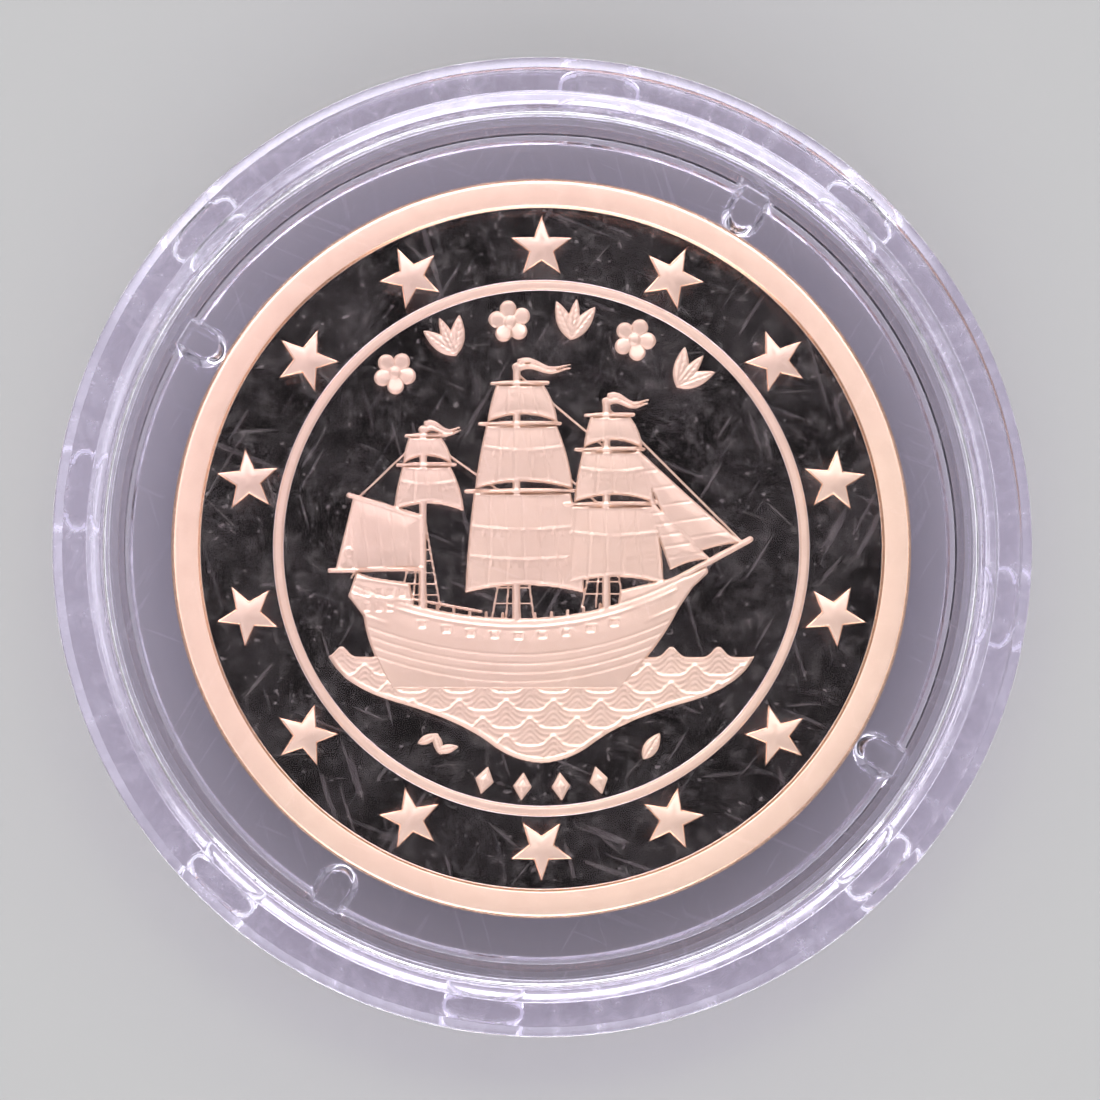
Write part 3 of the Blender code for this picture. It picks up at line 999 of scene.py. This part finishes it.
def lay_gaff_sail(relief):
    """The four-cornered sail aft of the mizzen, with its gaff and boom."""
    corners = [(MIZZEN - 0.05, 0.78), (-4.50, 1.32), (-4.95, -0.62), (MIZZEN - 0.02, -0.55)]
    dist = to_polygon(relief.x, relief.y, corners)
    belly = np.sin(np.clip(-dist / 0.5, 0, 1) * np.pi / 2)
    relief.lay(dist, 0.065 + 0.05 * belly, SAIL_EDGE)
    for k in range(1, 6):
        seam = (relief.x - (MIZZEN - 0.05 - 0.36 * k)) + 0.12 * (relief.y - 0.3)
        relief.line(dist < 0, seam, SEAM_WIDTH, -0.015)
    lay_spar(relief, (MIZZEN - 0.02, 0.80), (-4.62, 1.40), 0.10, 0.115)
    lay_spar(relief, (MIZZEN - 0.02, -0.60), (-5.10, -0.66), 0.10, 0.115)


def lay_sails(relief):
    """All the sails, the aft ones first, then the yards and pennants over them."""
    for sail in MIZZEN_SAILS:
        lay_square_sail(relief, *sail)
    lay_gaff_sail(relief)
    for sail in MAIN_AND_FORE_SAILS:
        lay_square_sail(relief, *sail)
    for mast, level, half in YARDS:
        start, end = (mast - half + 0.08, level), (mast + half + 0.12, level + 0.02)
        lay_spar(relief, start, end, 0.11, 0.125, taper=0.45)
    lay_triangle_sail(relief, head=(2.78, 2.72), tack=(5.52, 0.12), clew=(4.05, -0.28))
    lay_triangle_sail(relief, head=(3.16, 1.30), tack=(4.72, -0.34), clew=(3.70, -0.62))
    for mast, level, length, drop in PENNANTS:
        lay_pennant(relief, mast + 0.05, level, length, drop)


def lay_hull(relief):
    """The planked side; returns the mask of what lies inside its outline."""
    x, y = relief.x, relief.y
    rail = [(place, float(rail_height(place))) for place in np.linspace(-2.95, 2.35, 24)]
    outline = (
        [(-4.42, -0.72), (-4.05, -0.86), (-3.05, -1.02), (-3.0, -1.38)]
        + rail
        + [(2.40, -1.20), (3.55, -0.92), (4.12, -0.78)]
        + bezier((4.12, -0.78), (4.05, -1.75), (3.05, -3.05))
        + [(2.4, -3.9), (-3.5, -3.9)]
        + bezier((-3.5, -3.9), (-4.15, -2.7), (-4.22, -1.9))
        + [(-4.62, -1.35)]
    )
    dist = to_polygon(x, y, outline)
    relief.lay(dist, 0.088 + 0.045 * np.sin(np.clip(-dist / 0.9, 0, 1) * np.pi / 2), 0.06)
    inside = dist < -0.02
    below_rail = rail_height(x) - y
    for drop in HULL_LINES:
        if drop in WALES:
            relief.band(inside, below_rail - drop, 0.05, 0.020)
        else:
            relief.line(inside, below_rail - drop, 0.028, -0.018)
    return inside


def lay_hull_details(relief, inside):
    x, y = relief.x, relief.y

    def to_box(centre_x, centre_y, half_width, half_height):
        return np.maximum(np.abs(x - centre_x) - half_width, np.abs(y - centre_y) - half_height)

    # gun ports with lifted frames
    for k in range(9):
        place = -2.72 + 0.62 * k
        port = to_box(place, float(rail_height(place)) - 0.48, 0.125, 0.105)
        relief.add(np.abs(port) < 0.03, 0.014)
        relief.add(port < -0.02, -0.030)
    # stern gallery: level and count of each row of windows, then its two rails
    for level, count in ((-1.28, 4), (-1.66, 3)):
        for k in range(count):
            relief.add(to_box(-4.15 + 0.30 * k, level, 0.085, 0.11) < 0, -0.028)
    for aft_level, fore_level in ((-0.86, -1.10), (-1.35, -1.50)):
        dist, _ = to_segment(x, y, (-4.5, aft_level), (-3.05, fore_level))
        relief.add(inside, np.clip(1 - (dist / 0.045) ** 2, 0, 1) * 0.02)
    # stanchions along the rail, and a short rail aft
    for k in range(12):
        place = -2.75 + 0.42 * k
        level = float(rail_height(place))
        lay_spar(relief, (place, level - 0.02), (place, level + 0.13), 0.06, 0.085)
    lay_spar(relief, (-2.95, float(rail_height(-2.95)) + 0.16), (-1.2, -1.78), 0.05, 0.09)
    # stern lantern on its staff
    lay_spar(relief, (-4.48, -0.70), (-4.60, -0.30), 0.06, 0.09)
    relief.lay(np.hypot((x + 4.62) * 1.25, y + 0.16) - 0.13, 0.12, 0.05)
    # beak at the bow
    beak = [(3.85, -0.98), (4.62, -0.56), (4.66, -0.70), (4.25, -1.12), (3.85, -1.75)]
    relief.lay(to_polygon(x, y, beak), 0.10, 0.05)


def ship_relief(step):
    """A three-masted sailing ship, broadside, running towards +X."""
    relief = Relief(*SHIP_SPANS, step, centre=SHIP_CENTRE, stretch=SHIP_STRETCH)
    lay_rigging(relief)
    lay_masts(relief)
    lay_sails(relief)
    lay_hull_details(relief, lay_hull(relief))
    return relief


# ---- the sea ------------------------------------------------------------------------
WAVE_PITCH, WAVE_SHIFT = 1.24, 0.31
WAVE_ROWS, FIRST_WAVE_Y, WAVE_ROW_GAP = 6, -3.12, 0.50
FOAM_R = 0.17


def sea_relief(step):
    """Rows of rolling waves under the ship, narrowing to a point like the foot of a shield."""
    relief = Relief((-6.35, 6.35), (-6.3, -2.55), step, stretch=(1.09, 1.01))
    x, y = relief.x, relief.y
    # wide under the hull, two swelling curves down to a point
    left = (
        bezier((-5.62, -2.98), (-5.30, -3.95), (-3.60, -4.42), 14)
        + bezier((-3.60, -4.42), (-2.05, -4.92), (-1.30, -5.55), 10)[1:]
        + bezier((-1.30, -5.55), (-0.75, -6.02), (0.0, -6.08), 8)[1:]
    )
    right = [(-point_x, point_y) for point_x, point_y in reversed(left[:-1])]
    upper = [(point_x, -2.6) for point_x in np.linspace(5.62, -5.62, 8)]
    outline = to_polygon(x, y, left + right + upper)
    for k in range(WAVE_ROWS):
        level = FIRST_WAVE_Y - WAVE_ROW_GAP * k
        half_shift = 0.5 * WAVE_PITCH * (k % 2)
        phase = (x + half_shift + WAVE_SHIFT) / WAVE_PITCH * 2 * np.pi
        crest = (0.5 + 0.5 * np.cos(phase + 0.55 * np.sin(phase))) ** 1.5
        top = level + 0.30 * crest
        depth = np.clip(top - y, 0, 1.0)
        height = 0.052 + 0.030 * np.exp(-depth / 0.15) + 0.020 * crest * np.exp(-depth / 0.4)
        lines = np.cos(np.clip(depth - 0.02, 0, 1) / 0.165 * 2 * np.pi)
        height = height + 0.011 * lines * np.exp(-depth / 0.6)
        relief.lay(np.maximum(y - top, outline), height, 0.07)
        # a small curl of foam beside each crest
        crest_x = np.round(phase / (2 * np.pi)) * WAVE_PITCH - half_shift - WAVE_SHIFT
        from_foam = np.hypot(x - crest_x - 0.16, y - level - 0.06)
        near = np.clip(1 - from_foam / FOAM_R, 0, 1) * (outline < -0.2)
        curl = 0.014 * near * np.cos(from_foam / FOAM_R * 3 * np.pi)
        relief.add(relief.height > 0.01, curl)
    # a raised edge closes the sea below
    edge = 0.095 * (np.exp(-(((outline + 0.07) / 0.055) ** 2)) * (y < -3.05))
    relief.height = np.where(
        relief.height > 0.0, np.maximum(relief.height, edge), relief.height
    )
    return relief


# ---- ornaments ----------------------------------------------------------------------
def lay_rosette(relief, centre_x, centre_y, size, turn):
    x, y = relief.x - centre_x, relief.y - centre_y
    radius, angle = np.hypot(x, y), np.arctan2(y, x) - turn
    petals = 5
    petal = np.abs(np.cos(petals * angle / 2))
    edge = size * (0.66 + 0.34 * petal**0.8)
    dist = (radius - edge) * 0.8
    dish = np.clip((radius - 0.30 * size) / (0.5 * size), 0, 1) * petal
    relief.lay(dist, 0.045 + 0.055 * dish, 0.06)
    relief.line((dist < 0) & (radius > 0.3 * size), petal * edge * 0.9, 0.06, -0.03)
    eye = 0.25 * size
    relief.lay(radius - eye, 0.085 + 0.02 * (1 - (radius / eye) ** 2), 0.05)


def lay_leaf(relief, centre_x, centre_y, length, width, turn):
    x, y = turned(relief.x - centre_x, relief.y - centre_y, turn)
    share = np.clip(x / length + 0.5, 0, 1)
    half = width / 2 * np.sin(np.pi * share) ** 0.75 * (1.12 - 0.35 * share)
    dist = np.maximum(np.abs(y) - half, np.abs(x) - length / 2)
    swell = np.clip(1 - np.abs(y) / np.maximum(half, 0.02), 0, 1) ** 0.6
    relief.lay(dist, 0.055 + 0.045 * swell, 0.05)
    inside = dist < -0.01
    relief.line(inside, y, 0.028, -0.030)  # midrib
    ribs = 4
    rib_phase = ((x - np.abs(y) * 0.9) / length * ribs * 1.6) % 1.0
    relief.line(inside, rib_phase - 0.5, 0.14, -0.012)


def lay_lozenge(relief, centre_x, centre_y, half_width, half_height, turn):
    x, y = turned(relief.x - centre_x, relief.y - centre_y, turn)
    share = np.abs(x) / half_width + np.abs(y) / half_height
    small = min(half_width, half_height)
    relief.lay((share - 1) * small * 0.8, 0.055 + 0.055 * np.clip(1 - share, 0, 1), 0.05)
    relief.line(relief.height > 0.01, np.abs(share - 0.52) * small, 0.025, -0.018)


# kind, angle round the coin in degrees, radius
ORNAMENTS = (
    ("rosette", 130.0, 6.56), ("leaves", 114.0, 6.56), ("rosette", 98.0, 6.56),
    ("leaves", 82.0, 6.56), ("rosette", 66.0, 6.56), ("leaves", 50.0, 6.56),
    ("lozenge", 256.2, 6.86), ("lozenge", 265.4, 6.86),
    ("lozenge", 274.6, 6.86), ("lozenge", 283.8, 6.86),
    ("sprig", 242.0, 6.36), ("bud", 299.0, 6.50),
)
PATCH_HALF, PATCH_STEP = 0.85, 0.028


def ornament_relief(kind, angle, radius):
    out = math.radians(angle)
    cos, sin = math.cos(out), math.sin(out)
    x, y = radius * cos, radius * sin
    relief = Relief(
        (x - PATCH_HALF, x + PATCH_HALF), (y - PATCH_HALF, y + PATCH_HALF), PATCH_STEP
    )
    if kind == "rosette":
        lay_rosette(relief, x, y, 0.60, out)
    elif kind == "leaves":
        for side in (-1, 1):
            shift = side * 0.27
            lay_leaf(relief, x - shift * sin, y + shift * cos, 1.16, 0.44, out + side * 0.52)
        lay_leaf(relief, x + 0.10 * cos, y + 0.10 * sin, 1.10, 0.34, out)
    elif kind == "lozenge":
        lay_lozenge(relief, x, y, 0.40, 0.26, out)
    elif kind == "sprig":
        for shift, turn in ((-0.30, 0.9), (0.02, -0.8), (0.32, 0.7)):
            leaf_turn = out + math.pi / 2 + turn
            lay_leaf(relief, x - shift * sin, y + shift * cos, 0.62, 0.26, leaf_turn)
    else:
        lay_leaf(relief, x, y, 0.86, 0.42, out + math.pi / 2 + 0.5)
    return relief


# ---- the underside ------------------------------------------------------------------
# reach, half width at the root, directions in degrees, base height
STAR_RAYS = (
    (4.9, 0.72, [22.5 + 45.0 * k for k in range(8)], 0.050),
    (6.9, 1.05, quarter_turns(0.0), 0.050 + 0.03),
)


def reverse_relief():
    """The underside: four long rays over eight short ones, two rings, a ring of pellets."""
    edge = 0.10
    relief = Relief((-8.9, 8.9), (-8.9, 8.9), 0.062)
    x, y = relief.x, relief.y
    radius = np.hypot(x, y)
    relief.lay(np.abs(radius - 8.35) - 0.10, 0.06, edge)
    relief.lay(np.abs(radius - 4.55) - 0.09, 0.055, edge)
    for k in range(36):
        angle = math.radians(10.0 * k)
        pellet = np.hypot(x - 7.75 * math.cos(angle), y - 7.75 * math.sin(angle)) - 0.20
        relief.lay(pellet, 0.08, edge)
    for reach, width, directions, height in STAR_RAYS:
        for direction in directions:
            along, across = turned(x, y, math.radians(direction))
            dist = np.maximum(np.abs(across) - width * np.clip(1 - along / reach, 0, 1), -along)
            # one side of each ray stands higher than the other
            tilt = np.where(across > 0, 0.045, 0.0) * np.clip(np.abs(across) / 0.3, 0, 1)
            relief.lay(dist, height + tilt, edge)
    relief.lay(radius - 0.75, 0.11, edge)
    relief.line(relief.height > 0.01, radius - 0.45, 0.06, -0.03)
    return relief


# ---- relief to mesh -----------------------------------------------------------------
def raised_cells(height):
    """The grid's cells with a corner above the field, with no two joined only at a corner."""
    raised = height > 0.0
    cell = raised[:-1, :-1] | raised[1:, :-1] | raised[:-1, 1:] | raised[1:, 1:]
    for _ in range(6):  # each filled gap may make a new corner joint
        here, right = cell[:-1, :-1], cell[:-1, 1:]
        above, diagonal = cell[1:, :-1], cell[1:, 1:]
        joint = (here & diagonal & ~right & ~above) | (right & above & ~here & ~diagonal)
        if not joint.any():
            break
        fix = np.zeros_like(cell)
        fix[:-1, :-1] |= joint
        fix[:-1, 1:] |= joint
        cell |= fix
    return cell


def relief_piece(name, relief, field_z, up=1.0, clip=0.128):
    """A closed solid from the grid of heights: only the cells that rise out of the field."""
    height = np.minimum(relief.height, clip)
    cell = raised_cells(height)
    used = np.zeros(height.shape, bool)
    used[:-1, :-1] |= cell
    used[1:, :-1] |= cell
    used[:-1, 1:] |= cell
    used[1:, 1:] |= cell
    count = int(used.sum())
    index = -np.ones(height.shape, np.int64)
    index[used] = np.arange(count)
    top_z = np.maximum(height[used], -0.02) * up + field_z
    top = np.stack([relief.grid_x[used], relief.grid_y[used], top_z], axis=1)
    row, column = np.nonzero(cell)
    corners = (
        index[row, column],
        index[row, column + 1],
        index[row + 1, column + 1],
        index[row + 1, column],
    )
    # border edges, counter-clockwise round the raised cells, go down to the foot
    padded = np.pad(cell, 1)
    beside = (
        padded[row, column + 1],
        padded[row + 1, column + 2],
        padded[row + 2, column + 1],
        padded[row + 1, column],
    )
    walls = np.concatenate([
        np.stack([corners[k][~beside[k]], corners[(k + 1) % 4][~beside[k]]], axis=1)
        for k in range(4)
    ])
    rim = np.unique(walls)
    foot_of = {int(vert): count + k for k, vert in enumerate(rim)}
    foot = top[rim].copy()
    foot[:, 2] = -0.035 * up + field_z
    verts = np.concatenate([top, foot])
    faces = [tuple(int(vert) for vert in quad) for quad in np.stack(corners, axis=1)]
    faces += [
        (int(end), int(start), foot_of[int(start)], foot_of[int(end)]) for start, end in walls
    ]
    if up < 0:
        faces = [tuple(reversed(face)) for face in faces]
    mesh = bpy.data.meshes.new(name)
    mesh.from_pydata([tuple(point) for point in verts * MM], [], faces)
    close_foot(mesh, up)
    mesh.materials.append(FROST)
    mesh.shade_smooth()
    mesh.update()
    return link_mesh(name, mesh)


def close_foot(mesh, up):
    """Fills the open foot of a relief with triangles that face away from it."""
    edit = bmesh.new()
    edit.from_mesh(mesh)
    open_edges = [edge for edge in edit.edges if len(edge.link_faces) == 1]
    filled = bmesh.ops.triangle_fill(
        edit, use_beauty=False, use_dissolve=False, edges=open_edges
    )
    for face in filled["geom"]:
        if isinstance(face, bmesh.types.BMFace):
            face.normal_update()
            if face.normal.z * up > 0:
                face.normal_flip()
    edit.to_mesh(mesh)
    edit.free()


# ---- build and hang everything on the frame -----------------------------------------
base = build_base()
lid = build_lid()
blank = build_blank()
stars = star_border()
GRID = 0.035
ship = relief_piece("coin_emblem_ship", ship_relief(GRID), FIELD_Z)
sea = relief_piece("coin_emblem_waves", sea_relief(GRID), FIELD_Z - 0.002)
ornaments = [
    relief_piece(f"coin_ornament_{number}", ornament_relief(*spot), FIELD_Z)
    for number, spot in enumerate(ORNAMENTS, start=1)
]
back = relief_piece("coin_reverse_relief", reverse_relief(), BACK_Z, up=-1.0, clip=0.12)
coin_pieces = (blank, stars, ship, sea, back, *ornaments)

for piece in (base, lid, *coin_pieces):
    piece.data.set_sharp_from_angle(angle=math.radians(50))
    for axis in range(2):
        piece.scale[axis] = R_SCALE

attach(base, "base")
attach(lid, "lid")
for piece in coin_pieces:
    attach(piece, "coin_body")
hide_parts("base_shell")
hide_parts("lid_shell")
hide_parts("coin")


# ---- floor --------------------------------------------------------------------------
FLOOR_R_M = 1.6         # metres
FLOOR_GAP_M = 0.00001   # metres, just clear of the base


def build_floor():
    edit = bmesh.new()
    bmesh.ops.create_circle(edit, cap_ends=True, segments=96, radius=FLOOR_R_M)
    mesh = bpy.data.meshes.new("studio_floor")
    edit.to_mesh(mesh)
    edit.free()
    floor = link_mesh("studio_floor", mesh)
    floor.location = (0.0, 0.0, BOTTOM * MM - FLOOR_GAP_M)
    material, tree, shader, _ = new_material("pale_floor")
    set_inputs(tree, shader, {
        "Base Color": (0.272, 0.267, 0.262, 1.0),
        "Roughness": 0.85,
        "Specular IOR Level": 0.15,
    })
    mesh.materials.append(material)
    return floor


build_floor()


# ---- light --------------------------------------------------------------------------
# Soft patches of sky: azimuth, half width, low and high elevation in degrees, strength.
SOFTBOXES = (
    (92, 42, 39, 54, 13.0),     # the large one on the +Y side
    (264, 24, 20, 33, 9.5),     # a low one on the -Y side, kept narrow for the low views
    (262, 30, 42, 54, 4.0),     # with a weaker one above it
    (181, 22, 38, 54, 3.6),     # one on the -X side
    (2, 14, 38, 52, 1.3),       # and two weak ones on the +X side
    (352, 16, 22, 33, 2.0),
)
SOFTBOX_BLUR = 10.0     # degrees of soft edge


def softbox(tree, heading, up_z, azimuth, half_width, low, high, strength):
    """A soft-edged patch between two elevations, half_width to each side of an azimuth."""
    angle = math.radians(azimuth)
    dot = add_node(
        tree,
        "ShaderNodeVectorMath",
        {0: heading, 1: (math.cos(angle), math.sin(angle), 0.0)},
        operation="DOT_PRODUCT",
    )
    outer_edge = math.cos(math.radians(half_width + 2 * SOFTBOX_BLUR))
    inner_edge = math.cos(math.radians(half_width))
    sideways = map_range(
        tree,
        dot.outputs["Value"],
        source=(outer_edge, inner_edge),
        target=(0.0, strength),
        smooth=True,
    )

    def edge(elevation, target):
        source = tuple(
            math.sin(math.radians(elevation + side * SOFTBOX_BLUR / 2)) for side in (-1, 1)
        )
        return map_range(tree, up_z, source=source, target=target, smooth=True)

    rises, falls = edge(low, (0.0, 1.0)), edge(high, (1.0, 0.0))
    return combine(tree, "MULTIPLY", sideways, combine(tree, "MULTIPLY", rises, falls))


def build_world():
    """A soft studio sky for all light; the camera itself sees a plain grey."""
    world = bpy.data.worlds.new("soft_studio")
    bpy.context.scene.world = world
    world.use_nodes = True
    tree = world.node_tree
    tree.nodes.clear()
    direction = tree.nodes.new("ShaderNodeTexCoord").outputs["Generated"]
    separate = add_node(tree, "ShaderNodeSeparateXYZ", {"Vector": direction})
    up_z = separate.outputs["Z"]
    flat = add_node(
        tree, "ShaderNodeVectorMath", {0: direction, 1: (1.0, 1.0, 0.0)}, operation="MULTIPLY"
    )
    heading = add_node(
        tree, "ShaderNodeVectorMath", {0: flat.outputs["Vector"]}, operation="NORMALIZE"
    ).outputs["Vector"]

    light = map_range(tree, up_z, source=(-0.1, 0.5), target=(0.42, 0.60), smooth=True)
    for patch in SOFTBOXES:
        light = combine(tree, "ADD", light, softbox(tree, heading, up_z, *patch))
    # nothing bright straight above: the polished field mirrors this and so reads almost black
    dark_top = map_range(
        tree,
        up_z,
        source=(math.cos(math.radians(33)), math.cos(math.radians(16))),
        target=(1.0, 0.015),
        smooth=True,
    )
    light = combine(tree, "MULTIPLY", light, dark_top)
    studio = add_node(
        tree, "ShaderNodeBackground", {"Color": (0.955, 0.968, 1.0, 1.0), "Strength": light}
    )
    plain = add_node(
        tree, "ShaderNodeBackground", {"Color": (0.640, 0.638, 0.643, 1.0), "Strength": 1.0}
    )
    path = tree.nodes.new("ShaderNodeLightPath")
    pick = add_node(tree, "ShaderNodeMixShader", {
        "Fac": path.outputs["Is Camera Ray"],
        1: studio.outputs["Background"],
        2: plain.outputs["Background"],
    })
    add_node(tree, "ShaderNodeOutputWorld", {"Surface": pick.outputs["Shader"]})


build_world()

# ---- camera -------------------------------------------------------------------------
SENSOR_MM = 36.0
FRAME_MM = 31.4                     # width seen at the target
DISTANCE = 240.0
TARGET = (0.205527, -0.105618, TOP - 0.4)
LEAN = (-0.030, -0.040, 1.0)        # from the target to the camera, nearly straight up


def build_camera():
    """Looks down on the lid, with +X to the right of the view and +Y up it."""
    lens = bpy.data.cameras.new("camera")
    lens.sensor_width = SENSOR_MM
    lens.lens = SENSOR_MM * DISTANCE / FRAME_MM
    lens.clip_start, lens.clip_end = 0.01, 10.0
    camera = bpy.data.objects.new("camera", lens)
    lean = Vector(LEAN).normalized()
    camera.location = Vector(TARGET) * MM + lean * DISTANCE * MM
    right = Vector((0.0, 1.0, 0.0)).cross(lean).normalized()
    axes = Matrix((right, lean.cross(right), lean)).transposed()
    camera.rotation_euler = axes.to_euler()
    bpy.context.scene.collection.objects.link(camera)
    bpy.context.scene.camera = camera


build_camera()

# ---- render settings ----------------------------------------------------------------
scene = bpy.context.scene
scene.view_settings.view_transform = "Standard"
scene.view_settings.look = "None"
scene.cycles.max_bounces = 18
scene.cycles.transmission_bounces = 14
scene.cycles.glossy_bounces = 14
scene.cycles.diffuse_bounces = 3
scene.cycles.transparent_max_bounces = 24
scene.cycles.sample_clamp_indirect = 12.0
scene.cycles.use_adaptive_sampling = True
scene.cycles.adaptive_threshold = 0.03
scene.cycles.use_denoising = True
